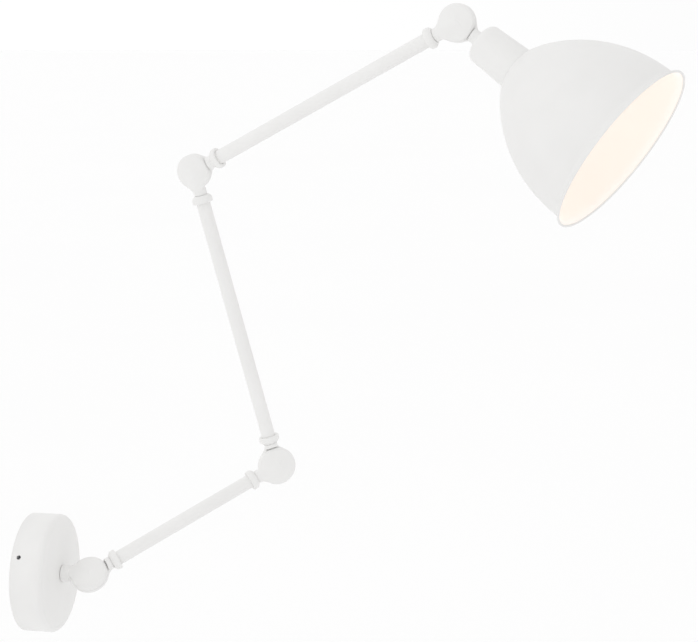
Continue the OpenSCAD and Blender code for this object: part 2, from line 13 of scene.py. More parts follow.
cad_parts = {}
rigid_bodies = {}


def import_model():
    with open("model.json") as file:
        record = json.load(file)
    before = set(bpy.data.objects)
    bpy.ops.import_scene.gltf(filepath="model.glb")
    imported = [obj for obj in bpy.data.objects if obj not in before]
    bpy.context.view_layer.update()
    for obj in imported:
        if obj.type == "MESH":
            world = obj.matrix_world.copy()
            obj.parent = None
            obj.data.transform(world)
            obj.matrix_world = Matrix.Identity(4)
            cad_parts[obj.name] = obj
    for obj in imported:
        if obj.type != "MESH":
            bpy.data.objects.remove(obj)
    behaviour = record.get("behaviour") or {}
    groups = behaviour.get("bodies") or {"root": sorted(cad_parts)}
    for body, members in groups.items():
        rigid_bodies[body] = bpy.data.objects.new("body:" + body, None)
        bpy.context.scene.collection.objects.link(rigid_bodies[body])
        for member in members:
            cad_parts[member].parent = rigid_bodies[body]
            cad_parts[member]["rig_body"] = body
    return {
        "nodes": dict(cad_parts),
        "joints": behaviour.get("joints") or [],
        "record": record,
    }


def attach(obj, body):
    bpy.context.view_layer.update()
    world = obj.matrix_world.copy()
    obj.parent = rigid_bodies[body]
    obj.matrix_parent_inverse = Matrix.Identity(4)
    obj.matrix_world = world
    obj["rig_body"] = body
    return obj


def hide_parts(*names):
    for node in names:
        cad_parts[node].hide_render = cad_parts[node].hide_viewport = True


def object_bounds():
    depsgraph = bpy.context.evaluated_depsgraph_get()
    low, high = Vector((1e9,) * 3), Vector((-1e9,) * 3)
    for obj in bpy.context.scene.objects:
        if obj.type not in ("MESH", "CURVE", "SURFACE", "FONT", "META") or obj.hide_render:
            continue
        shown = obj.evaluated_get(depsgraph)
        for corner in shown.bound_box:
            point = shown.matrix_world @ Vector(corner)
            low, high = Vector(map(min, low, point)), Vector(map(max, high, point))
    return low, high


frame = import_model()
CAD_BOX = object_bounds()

bl_info = {
    "name": "Swing Arm Wall Sconce",
    "version": (1, 0, 0),
    "blender": (4, 5, 0),
    "location": "3D View > Sidebar > Sconce",
    "description": "Builds a jointed wall lamp with cast knuckles, tube arms and a bell shade",
    "category": "Add Mesh",
}

MM = 0.001
FIT = 0.05 * MM             # room between a spigot or a screw and its hole
GRUBS = 3                   # grub screws around the canopy
DRILL_REACH = 10 * MM       # how far the drill passes on either side of the canopy's edge

# ------------------------------------------------------------------ the frame
JOINTS = {joint["name"]: joint for joint in frame["joints"]}
MOUNTS = {mount["name"]: mount for mount in frame["record"]["mounts"]}
SLOT_OF = {part["node"]: part["material_slot"] for part in frame["record"]["subparts"]}
PAINT = {m["slot"]: tuple(m["base_color"][:3]) for m in frame["record"]["materials"]}


def axis_of(joint):
    """The direction of a joint's axis."""
    return Vector(JOINTS[joint]["axis"]).normalized()


def seat(joint, along, pivot):
    """Matrix with its origin at a joint, +Z along an arm and +Y along a knuckle's pivot."""
    z = Vector(along).normalized()
    y = Vector(pivot)
    y = (y - z * y.dot(z)).normalized()
    turn = Matrix((y.cross(z), y, z)).transposed().to_4x4()
    return Matrix.Translation(Vector(JOINTS[joint]["pos_m"])) @ turn


SHADE_AXIS = Vector(MOUNTS["lamp_socket"]["axis"])
WALL = Matrix(((0, 0, 1, 0), (0, 1, 0, 0), (-1, 0, 0, 0), (0, 0, 0, 1)))
SEATS = {
    "wall": WALL,
    "stub": seat("wall_hinge", -axis_of("wall_swivel"), axis_of("wall_hinge")),
    "arm_1_knuckle": seat("wall_hinge", axis_of("arm_1_swivel"), axis_of("wall_hinge")),
    "arm_1": seat("wall_hinge", axis_of("arm_1_swivel"), axis_of("elbow_1")),
    "arm_1_end": seat("elbow_1", -axis_of("arm_1_swivel"), axis_of("elbow_1")),
    "arm_2_knuckle": seat("elbow_1", axis_of("arm_2_swivel"), axis_of("elbow_1")),
    "arm_2": seat("elbow_1", axis_of("arm_2_swivel"), axis_of("elbow_2")),
    "arm_2_end": seat("elbow_2", -axis_of("arm_2_swivel"), axis_of("elbow_2")),
    "arm_3": seat("elbow_2", axis_of("head_swivel"), axis_of("elbow_2")),
    "arm_3_end": seat("head_tilt", -axis_of("head_swivel"), axis_of("elbow_2")),
    "head_knuckle": seat("head_tilt", -axis_of("head_swivel"), axis_of("head_tilt")),
    "head": seat("head_tilt", SHADE_AXIS, axis_of("head_tilt")),
}


def measure(node, place):
    """Lowest and highest corners of a CAD node in a local frame, as two vectors."""
    mesh = frame["nodes"][node].data
    points = np.zeros(len(mesh.vertices) * 3, np.float32)
    mesh.vertices.foreach_get("co", points)
    inverse = np.array(place.inverted())
    local = points.reshape(-1, 3) @ inverse[:3, :3].T + inverse[:3, 3]
    return Vector(local.min(0)), Vector(local.max(0))


def bore_of(node, place):
    """Smallest radius of a CAD node about a local frame's Z."""
    mesh = frame["nodes"][node].data
    inverse = place.inverted()
    return min((inverse @ vertex.co).xy.length for vertex in mesh.vertices)


# ------------------------------------------------------------ sizes and colours
def length(name, description, default):
    """A length property in metres, from a default in millimetres."""
    return FloatProperty(name=name, description=description, default=default * MM,
                         min=0.0, precision=5, subtype="DISTANCE", unit="LENGTH")


def colour(name, description, default):
    """A linear RGB colour property."""
    return FloatVectorProperty(name=name, description=description, default=default,
                               size=3, min=0.0, max=1.0, subtype="COLOR")


def shaded(rgb, factor):
    """A colour made lighter or darker."""
    return tuple(min(1.0, channel * factor) for channel in rgb)


class WallPlateSizes(bpy.types.PropertyGroup):
    edge: length("Edge radius", "Radius of the canopy's rounded front edge", 6)
    rise: length("Face rise", "How far the canopy's face domes at its middle", 1.2)
    sheet: length("Sheet", "Thickness of the canopy's sheet", 1.5)
    hole: length("Stub hole", "Radius of the hole for the stub's nipple", 5.2)
    grub_hole: length("Grub hole", "Radius of the holes for the grub screws", 2.5)
    grub_length: length("Grub length", "Length of a grub screw's shank", 8.4)
    grub_cone: length("Grub point", "Height of the cone at a grub screw's tip", 0.6)
    grub_key: length("Grub key", "Half the width of the grub screw's socket", 1.25)
    grub_depth: length("Grub socket", "Depth of the grub screw's socket", 2.2)


class KnuckleSizes(bpy.types.PropertyGroup):
    rim: length("Rim", "Thickness of a knuckle half at its rim", 5.6)
    gap: length("Gap", "Gap between the two halves", 0.3)
    neck_gap: length("Neck gap", "Gap between a neck and the other half's rim", 1.5)
    neck: length("Neck radius", "Radius of the cast necks", 7.5)
    neck_end: length("Neck length", "From the pivot to the shoulder at the collar", 28)
    fillet: length("Fillet", "Cast fillet where the neck meets the disc", 7)
    fade: length("Fillet fade", "Height over the mating face where the fillet is full", 3)
    soft: length("Soft edge", "Rounding of the casting's edges", 0.9)
    screw_hole: length("Screw hole", "Radius of the counterbore for the screw's head", 6)
    screw_floor: length("Screw seat", "From the mating face to the counterbore's floor", 4.6)
    spigot: length("Spigot", "Length of the spigots and of the stub's nipple", 18)
    post: length("Post", "Radius of the stub's turned post", 9.5)
    nipple: length("Nipple", "Radius of the threaded nipples", 5)
    foot: length("Foot", "Height of the flared foot on the cup", 5)
    foot_spread: length("Foot spread", "How far the foot flares beyond the neck", 3)
    head_nipple: length("Head nipple", "Length of the nipple into the cup", 11)
    screw_head: length("Screw head", "Height of a pivot screw's head", 2.6)
    screw_shank: length("Screw shank", "Radius of a pivot screw's shank", 3)
    screw_key: length("Screw key", "Half the width of a pivot screw's socket", 2)
    screw_web: length("Screw web", "Metal left under a pivot screw's socket", 0.8)
    cell: length("Cell", "Grid step of the castings' surface", 0.6)


class ArmSizes(bpy.types.PropertyGroup):
    wall: length("Tube wall", "Wall thickness of the arm tubes", 1.2)
    lip: length("Collar lip", "Width of the collar's flat lip beyond the neck", 1)
    taper: length("Collar taper", "Length of the collar's tapered end", 3.4)
    round: length("Collar edge", "Rounding of the collar's edges", 1.9)
    mouth: length("Collar mouth", "Width and depth of the recess round the tube", 0.9)
    shoulder: length("Tube shoulder", "Gap between a neck's end and its tube", 1.6)


class ShadeSizes(bpy.types.PropertyGroup):
    sheet: length("Sheet", "Thickness of the shade's sheet", 0.9)
    flat: length("Flat top", "Radius of the flat that the cup and the ring clamp", 24.3)
    flare: length("Flare radius", "Radius of the flare at the rim", 9)
    bead: length("Bead radius", "Radius of the rolled bead", 1.3)
    bead_drop: length("Bead drop", "How far the bead sits past the sheet's end", 0.4)
    flare_angle: FloatProperty(name="Flare angle", description="How far the flare turns outwards",
                               default=math.radians(60), subtype="ANGLE")
    round_top: FloatProperty(name="Top roundness", default=1.23, min=1.0, max=4.0,
                             description="Exponent of the bell's outline at its top")
    round_rim: FloatProperty(name="Rim roundness", default=2.15, min=1.0, max=4.0,
                             description="Exponent of the bell's outline towards the rim")
    segments: IntProperty(name="Segments", description="Faces around the shade", default=192, min=24)


class HeadSizes(bpy.types.PropertyGroup):
    cup_wall: length("Cup wall", "Wall thickness of the lampholder cup", 1.6)
    cup_top: length("Cup top", "Outside radius of the cup below its shoulder", 21.7)
    shoulder: length("Cup shoulder", "Radius of the cup's rounded shoulder", 7)
    nipple: length("Nipple radius", "Radius of the nipple through the cup", 5)
    thread: length("Thread depth", "Depth of the lampholder's rolled thread", 0.8)
    shell: length("Shell", "Thickness of the thread shell", 0.35)
    turns: IntProperty(name="Turns", description="Turns of the rolled thread", default=7, min=1)


class Finishes(bpy.types.PropertyGroup):
    paint: colour("Paint", "Powder coat on the wall plate, arms and knuckles",
                  shaded(PAINT["white_paint"], 0.98))
    shade: colour("Shade", "Powder coat outside the shade", shaded(PAINT["shade_enamel"], 0.965))
    # The lining's warm cream tint is partly the lining's own colour and partly painted warm light
    # inside the shade.
    inside: colour("Shade inside", "Gloss white inside the shade", (0.86, 0.82, 0.775))
    # Painted light: the colour of a glow painted into the shade's lining, which glows though no bulb is
    # modelled.
    painted_glow: colour("Glow", "Warm light that the shade's inside gives back", (1.0, 0.91, 0.84))
    steel: colour("Zinc", "Zinc plated steel", PAINT["zinc_steel"])
    dark: colour("Black oxide", "Hardened screws", PAINT["black_steel"])
    brass: colour("Brass", "Contacts and earth screw", PAINT["brass"])
    fibre: colour("Fibre", "Friction washers", PAINT["fibre"])
    plastic: colour("Plastic", "Lampholder, ring and terminal block", PAINT["ivory_plastic"])
    sheath: colour("Sheath", "Flex inside the arms", PAINT["flex_sheath"])


class Studio(bpy.types.PropertyGroup):
    eye: FloatVectorProperty(name="Eye", description="Place of the camera", size=3,
                             default=(0.7435, -1.8827, 0.5988), subtype="XYZ", unit="LENGTH")
    azimuth: FloatProperty(name="Azimuth", description="Camera's turn about the vertical",
                           default=math.radians(11.156), subtype="ANGLE")
    elevation: FloatProperty(name="Elevation", description="How far the camera looks down",
                             default=math.radians(8.799), subtype="ANGLE")
    lens: FloatProperty(name="Lens", description="Focal length in millimetres", default=92.54)
    sky: FloatProperty(name="Sky", description="Brightness of the even light around",
                       default=0.98)
    lean: FloatProperty(name="Lean", description="How much brighter the light is from the left",
                        default=0.12)
    key: FloatProperty(name="Key", description="Power of the large soft light in watts", default=1.2)
    floor_drop: length("Floor", "How far the floor lies below the wall plate's middle", 900)
    floor_size: length("Floor size", "Radius of the floor", 400000)


# ------------------------------------------------------------------- node trees
class Value:
    """An output socket that adds Math nodes to its tree when it is used in a sum."""

    def __init__(self, tree, socket):
        self.tree = tree
        self.socket = socket

    def math(self, operation, *others):
        inputs = {number: other for number, other in enumerate((self,) + others)}
        return self.tree.add("ShaderNodeMath", {"operation": operation}, inputs)

    def __add__(self, other):
        return self.math("ADD", other)

    def __mul__(self, other):
        return self.math("MULTIPLY", other)

    def __sub__(self, other):
        return self.math("SUBTRACT", other)

    def __rsub__(self, other):
        return self.math("MULTIPLY_ADD", -1.0, other)

    def __truediv__(self, other):
        return self.math("DIVIDE", other)

    def __pow__(self, other):
        return self.math("POWER", other)

    __radd__ = __add__
    __rmul__ = __mul__

    def over(self, limit):
        """1 where the value is over the limit and 0 elsewhere."""
        return self.math("GREATER_THAN", limit)

    def share(self, low, high):
        """How far the value is from low to high, kept between 0 and 1."""
        return ((self - low) / (high - low)).math("MAXIMUM", 0.0).math("MINIMUM", 1.0)


class Tree:
    """A node tree with one method that adds any node."""

    def __init__(self, node_tree):
        self.tree = node_tree
        self.tree.nodes.clear()

    def add(self, kind, settings=None, inputs=None, out=0):
        """Adds a node, sets its settings, fills its sockets and gives one output as a Value."""
        node = self.tree.nodes.new(kind)
        for name, value in (settings or {}).items():
            setattr(node, name, value)
        for name, value in (inputs or {}).items():
            if isinstance(value, Value):
                self.tree.links.new(value.socket, node.inputs[name])
            else:
                node.inputs[name].default_value = value
        return Value(self, node.outputs[out]) if node.outputs else node


class ShapeTree(Tree):
    """A Geometry Nodes tree with named inputs."""

    def __init__(self, name):
        super().__init__(bpy.data.node_groups.new(name, "GeometryNodeTree"))
        self.tree.interface.new_socket("Geometry", in_out="INPUT", socket_type="NodeSocketGeometry")
        self.tree.interface.new_socket("Geometry", in_out="OUTPUT", socket_type="NodeSocketGeometry")
        self.entry = self.tree.nodes.new("NodeGroupInput")

    def input(self, name, kind="Float"):
        """A named input of the tree, as a Value."""
        self.tree.interface.new_socket(name, in_out="INPUT", socket_type="NodeSocket" + kind)
        return Value(self, self.entry.outputs[name])

    def finish(self, geometry, *materials):
        """Ends the tree: instances made real, then one Set Material for each (material, selection)."""
        geometry = self.add("GeometryNodeRealizeInstances", inputs={"Geometry": geometry})
        for material, chosen in materials:
            inputs = {"Geometry": geometry, "Material": material}
            if chosen is not None:
                inputs["Selection"] = chosen
            geometry = self.add("GeometryNodeSetMaterial", inputs=inputs)
        exit_node = self.tree.nodes.new("NodeGroupOutput")
        self.tree.links.new(geometry.socket, exit_node.inputs[0])

    def run(self, name, **values):
        """A plain mesh object from the tree with its inputs set; the modifier is gone."""
        carrier = bpy.data.objects.new(name + "_carrier", bpy.data.meshes.new(name + "_carrier"))
        bpy.context.scene.collection.objects.link(carrier)
        modifier = carrier.modifiers.new("shape", "NODES")
        modifier.node_group = self.tree
        for item in self.tree.interface.items_tree:
            if item.in_out == "INPUT" and item.name in values:
                modifier[item.identifier] = values[item.name]
        graph = bpy.context.evaluated_depsgraph_get()
        mesh = bpy.data.meshes.new_from_object(carrier.evaluated_get(graph), depsgraph=graph)
        bpy.data.objects.remove(carrier)
        mesh.name = name
        return mesh


# -------------------------------------------------------------------- finishes
def new_material(name):
    """An empty material and its tree."""
    material = bpy.data.materials.new(name)
    material.use_nodes = True
    return material, Tree(material.node_tree)


def object_point(tree):
    """The point on the piece, in metres."""
    return tree.add("ShaderNodeTexCoord", out="Object")


def noise(tree, scale, detail=3.0, rough=0.5, vector=None):
    """Noise from 0 to 1 with a given number of lumps per metre."""
    return tree.add("ShaderNodeTexNoise", {"noise_dimensions": "3D"},
                    {"Vector": vector or object_point(tree), "Scale": scale, "Detail": detail,
                     "Roughness": rough})


def tint(tree, amount, first, second):
    """A colour between two colours."""
    return tree.add("ShaderNodeMix", {"data_type": "RGBA"},
                    {0: amount, 6: (*first, 1.0), 7: (*second, 1.0)}, out=2)


def bump(tree, height, distance, strength=1.0):
    """A normal from a height."""
    return tree.add("ShaderNodeBump", inputs={"Height": height, "Distance": distance,
                                              "Strength": strength})


def close_material(material, tree, **sockets):
    """Adds the surface shader with its sockets and links it to the output."""
    inputs = {name.replace("_", " "): value for name, value in sockets.items()}
    surface = tree.add("ShaderNodeBsdfPrincipled", inputs=inputs)
    tree.add("ShaderNodeOutputMaterial", inputs={"Surface": surface})
    return material


def powder_coat(name, rgb, lumps=850.0, depth=0.00003):
    """White powder coat: a fine orange peel, cloudy gloss and a trace of tone."""
    material, tree = new_material(name)
    peel = noise(tree, lumps, 2.0)
    grit = noise(tree, 3.4 * lumps, 1.0)
    cloud = noise(tree, 22.0, 4.0)
    tone = tint(tree, cloud.share(0.3, 0.7), shaded(rgb, 0.985), shaded(rgb, 1.012))
    speckle = tree.add("ShaderNodeMix", {"data_type": "RGBA"},
                       {0: grit.share(0.62, 0.8) * 0.12, 6: tone, 7: (*shaded(rgb, 0.86), 1.0)}, out=2)
    gloss = 0.44 + 0.08 * peel + 0.1 * cloud
    return close_material(material, tree, Base_Color=speckle, Roughness=gloss,
                          Normal=bump(tree, peel + 0.35 * grit, depth), IOR=1.5)


def shade_inside(name, rgb, painted_glow):
    """Gloss white lining with a painted glow: its emission stands in for warm light inside the shade
    and is painted brighter towards the lampholder.
    """
    material, tree = new_material(name)
    point = object_point(tree)
    holder = Vector(MOUNTS["lamp_socket"]["pos_m"])
    reach = tree.add("ShaderNodeVectorMath", {"operation": "DISTANCE"}, {0: point, 1: tuple(holder)},
                     out="Value")
    # Painted light: the lining's emission is brightest within 5 cm of the lampholder and fades out by
    # 20 cm.
    painted_glow_near_holder = reach.share(0.2, 0.05)
    peel = noise(tree, 600.0, 2.0)
    tone = tint(tree, noise(tree, 18.0).share(0.3, 0.7), shaded(rgb, 0.985), shaded(rgb, 1.01))
    light = tint(tree, painted_glow_near_holder, shaded(painted_glow, 0.9), painted_glow)
    return close_material(material, tree, Base_Color=tone, Roughness=0.3 + 0.08 * peel,
                          Normal=bump(tree, peel, 0.00003), Emission_Color=light,
                          Emission_Strength=0.22)


def zinc_plate(name, rgb):
    """Bright zinc plate: cloudy spangle and fine draw marks."""
    material, tree = new_material(name)
    stretched = tree.add("ShaderNodeMapping", inputs={"Vector": object_point(tree),
                                                      "Scale": (40.0, 900.0, 900.0)})
    marks = noise(tree, 3.0, 2.0, vector=stretched)
    cloud = noise(tree, 120.0, 4.0)
    tone = tint(tree, cloud.share(0.3, 0.7), shaded(rgb, 0.82), shaded(rgb, 1.12))
    return close_material(material, tree, Base_Color=tone, Metallic=1.0,
                          Roughness=0.28 + 0.12 * cloud + 0.08 * marks,
                          Normal=bump(tree, marks, 0.00002))


def black_oxide(name, rgb):
    """Blackened steel: oily tone shifts and worn bright specks."""
    material, tree = new_material(name)
    cloud = noise(tree, 400.0, 4.0)
    tone = tint(tree, cloud.share(0.55, 0.85), rgb, shaded(rgb, 2.6))
    return close_material(material, tree, Base_Color=tone, Metallic=0.9,
                          Roughness=0.36 + 0.2 * cloud, Normal=bump(tree, cloud, 0.00002))


def bare_brass(name, rgb):
    """Pressed brass with light tarnish."""
    material, tree = new_material(name)
    tarnish = noise(tree, 160.0, 5.0, 0.6).share(0.45, 0.8)
    tone = tint(tree, tarnish, rgb, shaded(rgb, 0.62))
    return close_material(material, tree, Base_Color=tone, Metallic=1.0,
                          Roughness=0.24 + 0.3 * tarnish, Normal=bump(tree, tarnish, 0.00002))


def pressed_fibre(name, rgb):
    """Vulcanised fibre: short matted strands."""
    material, tree = new_material(name)
    strands = tree.add("ShaderNodeTexVoronoi", {"feature": "F1"},
                       {"Vector": object_point(tree), "Scale": 1500.0})
    mottle = noise(tree, 700.0, 4.0)
    tone = tint(tree, mottle.share(0.3, 0.7), shaded(rgb, 0.7), shaded(rgb, 1.35))
    return close_material(material, tree, Base_Color=tone, Roughness=0.75 + 0.15 * mottle,
                          Normal=bump(tree, strands, 0.00006))


def moulded_plastic(name, rgb):
    """Satin moulding: spark-eroded grain and faint flow marks."""
    material, tree = new_material(name)
    grain = noise(tree, 2200.0, 2.0)
    flow = noise(tree, 60.0, 3.0)
    tone = tint(tree, flow.share(0.3, 0.7), shaded(rgb, 0.96), shaded(rgb, 1.03))
    return close_material(material, tree, Base_Color=tone, Roughness=0.4 + 0.12 * grain,
                          Normal=bump(tree, grain, 0.00002), IOR=1.5)


def flex_sheath(name, rgb):
    """Extruded sheath: matt with a slight waviness."""
    material, tree = new_material(name)
    wave = noise(tree, 300.0, 3.0)
    tone = tint(tree, wave.share(0.3, 0.7), shaded(rgb, 0.94), shaded(rgb, 1.04))
    return close_material(material, tree, Base_Color=tone, Roughness=0.55 + 0.15 * wave,
                          Normal=bump(tree, wave, 0.00004))


def pale_floor(name):
    """Plain pale studio floor."""
    material, tree = new_material(name)
    tone = tint(tree, noise(tree, 0.6).share(0.2, 0.8), (0.98, 0.98, 0.98), (0.99, 0.99, 0.99))
    return close_material(material, tree, Base_Color=tone, Roughness=0.9,
                          Emission_Color=(1.0, 1.0, 1.0, 1.0), Emission_Strength=0.02)


FINISH = {}


def make_finishes(paint):
    """Makes every material once, by the record's slot names."""
    FINISH["white_paint"] = powder_coat("powder_coat_white", paint.paint)
    FINISH["shade_enamel"] = powder_coat("powder_coat_shade", paint.shade, 1000.0, 0.000025)
    # The shade's lining carries a painted glow in its emission.
    FINISH["shade_inside"] = shade_inside("shade_lining", paint.inside, paint.painted_glow)
    FINISH["zinc_steel"] = zinc_plate("zinc_plate", paint.steel)
    FINISH["black_steel"] = black_oxide("black_oxide", paint.dark)
    FINISH["brass"] = bare_brass("bare_brass", paint.brass)
    FINISH["fibre"] = pressed_fibre("pressed_fibre", paint.fibre)
    FINISH["ivory_plastic"] = moulded_plastic("moulded_plastic", paint.plastic)
    FINISH["flex_sheath"] = flex_sheath("flex_sheath", paint.sheath)


# ------------------------------------------------------------------ mesh making
def body_of(node):
    """The body that a CAD node rides on."""
    return frame["nodes"][node]["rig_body"]


def merge(mesh):
    """Closes a mesh's seams and points its faces outwards."""
    edit = bmesh.new()
    edit.from_mesh(mesh)
    bmesh.ops.remove_doubles(edit, verts=edit.verts, dist=1e-6)
    bmesh.ops.recalc_face_normals(edit, faces=edit.faces)
    edit.to_mesh(mesh)
    edit.free()


def bore(name, mesh, drill):
    """A new mesh with a drill's mesh taken out of it."""
    work = [bpy.data.objects.new(part.name, part) for part in (mesh, drill)]
    for part in work:
        bpy.context.scene.collection.objects.link(part)
    cut = work[0].modifiers.new("bore", "BOOLEAN")
    cut.object = work[1]
    cut.solver = "EXACT"
    graph = bpy.context.evaluated_depsgraph_get()
    bored = bpy.data.meshes.new_from_object(work[0].evaluated_get(graph), depsgraph=graph)
    bored.name = name
    bored.materials.clear()
    for part in work:
        bpy.data.objects.remove(part)
    return bored


def settle(name, mesh, place, *nodes, sharp=None):
    """Puts a mesh made in a local frame in its place, and lets it stand for its CAD nodes."""
    mesh.transform(place)
    merge(mesh)
    piece = bpy.data.objects.new(name, mesh)
    bpy.context.scene.collection.objects.link(piece)
    mesh.shade_smooth()
    if sharp:
        mesh.set_sharp_from_angle(angle=math.radians(sharp))
    if not mesh.materials:
        mesh.materials.append(FINISH[SLOT_OF[nodes[0]]])
    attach(piece, body_of(nodes[0]))
    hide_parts(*nodes)
    return piece


def soften(outline, radius, closed=True, steps=4):
    """The outline with each corner turned into a small arc, with a point held close on either side."""
    count = len(outline)
    points = []
    for number, corner in enumerate(outline):
        if not closed and number in (0, count - 1):
            points.append(tuple(corner))
            continue
        corner = Vector(corner)
        before = Vector(outline[number - 1]) - corner
        after = Vector(outline[(number + 1) % count]) - corner
        reach = min(radius, 0.42 * before.length, 0.42 * after.length)
        hold = 0.12 * reach
        start = corner + before.normalized() * reach
        end = corner + after.normalized() * reach
        points.append(tuple(start + before.normalized() * hold))
        for step in range(steps + 1):
            t = step / steps
            points.append(tuple(start * (1 - t) ** 2 + corner * (2 * t * (1 - t)) + end * t ** 2))
        points.append(tuple(end + after.normalized() * hold))
    return points


def turned(name, outline, closed=True, segments=96, hex_until=None):
    """A mesh turned about Z from (radius, height) points; a closed outline makes a ring.
    Points before hex_until lie on a hexagon, for a key's socket."""
    points = []
    for number, (radius, height) in enumerate(outline):
        for segment in range(segments):
            angle = 2 * math.pi * segment / segments
            at = radius
            if hex_until is not None and number < hex_until:
                at = radius / math.cos((angle % (math.pi / 3)) - math.pi / 6)
            points.append((at * math.cos(angle), at * math.sin(angle), height))
    faces = []
    rows = len(outline) if closed else len(outline) - 1
    for row in range(rows):
        below = row * segments
        above = ((row + 1) % len(outline)) * segments
        for segment in range(segments):
            beside = (segment + 1) % segments
            faces.append((below + segment, below + beside, above + beside, above + segment))
    mesh = bpy.data.meshes.new(name)
    mesh.from_pydata(points, [], faces)
    return mesh


def arc(centre, radius, start, end, steps=10):
    """Points on an arc in the outline's plane, angles in degrees."""
    return [(centre[0] + radius * math.cos(math.radians(start + (end - start) * step / steps)),
             centre[1] + radius * math.sin(math.radians(start + (end - start) * step / steps)))
            for step in range(steps + 1)]


def refined(node, name, bevel=0.2):
    """A copy of a CAD node's mesh, merged and with its edges broken."""
    mesh = frame["nodes"][node].data.copy()
    mesh.name = name
    mesh.materials.clear()
    edit = bmesh.new()
    edit.from_mesh(mesh)
    bmesh.ops.remove_doubles(edit, verts=edit.verts, dist=2e-6)
    bmesh.ops.dissolve_limit(edit, angle_limit=math.radians(0.5), verts=edit.verts,
                             edges=edit.edges)
    edit.to_mesh(mesh)
    edit.free()
    piece = settle(name, mesh, Matrix.Identity(4), node, sharp=35)
    edge = piece.modifiers.new("edge", "BEVEL")
    edge.width = bevel * MM
    edge.segments = 2
    edge.limit_method = "ANGLE"
    edge.angle_limit = math.radians(40)
    edge.harden_normals = False
    return piece


# ------------------------------------------------------------------- castings
def smooth_min(a, b, reach):
    """The lower of two fields, blended where they are closer than reach."""
    blend = np.maximum(reach - np.abs(a - b), 0.0) / reach
    return np.minimum(a, b) - blend * blend * reach / 4


def smooth_max(a, b, reach):
    """The higher of two fields, blended where they are closer than reach."""
    return -smooth_min(-a, -b, reach)


def skin(name, field, low, high, cell):
    """A closed mesh on the surface where a field is zero: surface nets, then steps onto the surface."""
    axes = [np.arange(low[k] - 1.5 * cell, high[k] + 2.5 * cell, cell) for k in range(3)]
    grid = np.stack(np.meshgrid(*axes, indexing="ij"), -1)
    value = field(grid)
    inside = value < 0
    shape = tuple(n - 1 for n in inside.shape)
    corner = [tuple(slice(step[k], step[k] + shape[k]) for k in range(3))
              for step in product((0, 1), repeat=3)]
    held = sum(inside[c].astype(int) for c in corner)
    crossed = (held > 0) & (held < 8)
    number = np.full(shape, -1)
    number[crossed] = np.arange(crossed.sum())
    weight = sum(1.0 / (np.abs(value[c][crossed]) + 0.2 * cell) for c in corner)
    points = sum(grid[c][crossed] / (np.abs(value[c][crossed]) + 0.2 * cell)[:, None]
                 for c in corner) / weight[:, None]
    faces = []
    for axis in range(3):
        first, second = [k for k in range(3) if k != axis]
        ahead = np.roll(inside, -1, axis)
        place = np.argwhere(inside != ahead)
        place = place[(place[:, axis] < shape[axis]) & (place[:, first] > 0)
                      & (place[:, second] > 0) & (place[:, first] < shape[first])
                      & (place[:, second] < shape[second])]
        one, two = np.eye(3, dtype=int)[first], np.eye(3, dtype=int)[second]
        ring = np.stack([number[tuple((place - a * one - b * two).T)]
                         for a, b in ((1, 1), (0, 1), (0, 0), (1, 0))], 1)
        faces.append(ring)
    faces = np.concatenate(faces)
    for _ in range(4):
        step = 0.05 * cell
        slope = np.stack([(field(points + step * side) - field(points - step * side)) / (2 * step)
                          for side in np.eye(3)], -1)
        steepness = np.maximum((slope ** 2).sum(-1), 0.2)
        points = points - 0.9 * slope * (field(points) / steepness)[:, None]
    mesh = bpy.data.meshes.new(name)
    mesh.from_pydata(points.tolist(), [], faces.tolist())
    return mesh


def knuckle_half(name, node, seat_name, neck_to, spigot=None, rear=False, extra=None):
    """One cast half of a knuckle: a domed disc that runs into a round neck, which ends at neck_to.
    A spigot is (radius, end), and extra adds to the field what only this half has."""
    sizes = bpy.context.scene.sconce_knuckles
    place = SEATS[seat_name]
    low, high = measure(node, place)
    radius = high.x
    thick = -low.y if rear else high.y
    side = -1.0 if rear else 1.0
    rise = thick - sizes.rim
    dome = (radius * radius + rise * rise) / (2 * rise)

    def field(p):
        x, y, z = p[..., 0], side * p[..., 1], p[..., 2]
        from_pivot = np.hypot(x, z)
        from_arm = np.hypot(x, y)
        cap = np.sqrt(x * x + (y - thick + dome) ** 2 + z * z) - dome
        disc = smooth_max(from_pivot - radius, cap, 2.2 * sizes.soft)
        neck = smooth_max(from_arm - sizes.neck, np.maximum(-z, z - neck_to), sizes.soft)
        own_side = np.clip(y / sizes.fade, 0.02, 1.0)
        body = smooth_min(disc, neck, sizes.fillet * own_side)
        freed = np.maximum(from_pivot - radius - sizes.neck_gap, y - sizes.gap / 2)
        body = smooth_max(body, -freed, sizes.soft)
        if spigot:
            reach, end = spigot
            plug = smooth_max(from_arm - reach,
                              np.abs(z - (neck_to + end) / 2) - (end - neck_to) / 2, sizes.soft)
            body = np.minimum(body, plug)
        if extra:
            body = extra(body, from_arm, z)
        if rear:
            hole = np.maximum(from_pivot - sizes.screw_hole, sizes.screw_floor - y)
            body = smooth_max(body, -hole, 0.7 * sizes.soft)
        return body

    return settle(name, skin(name, field, low, high, sizes.cell), place, node)


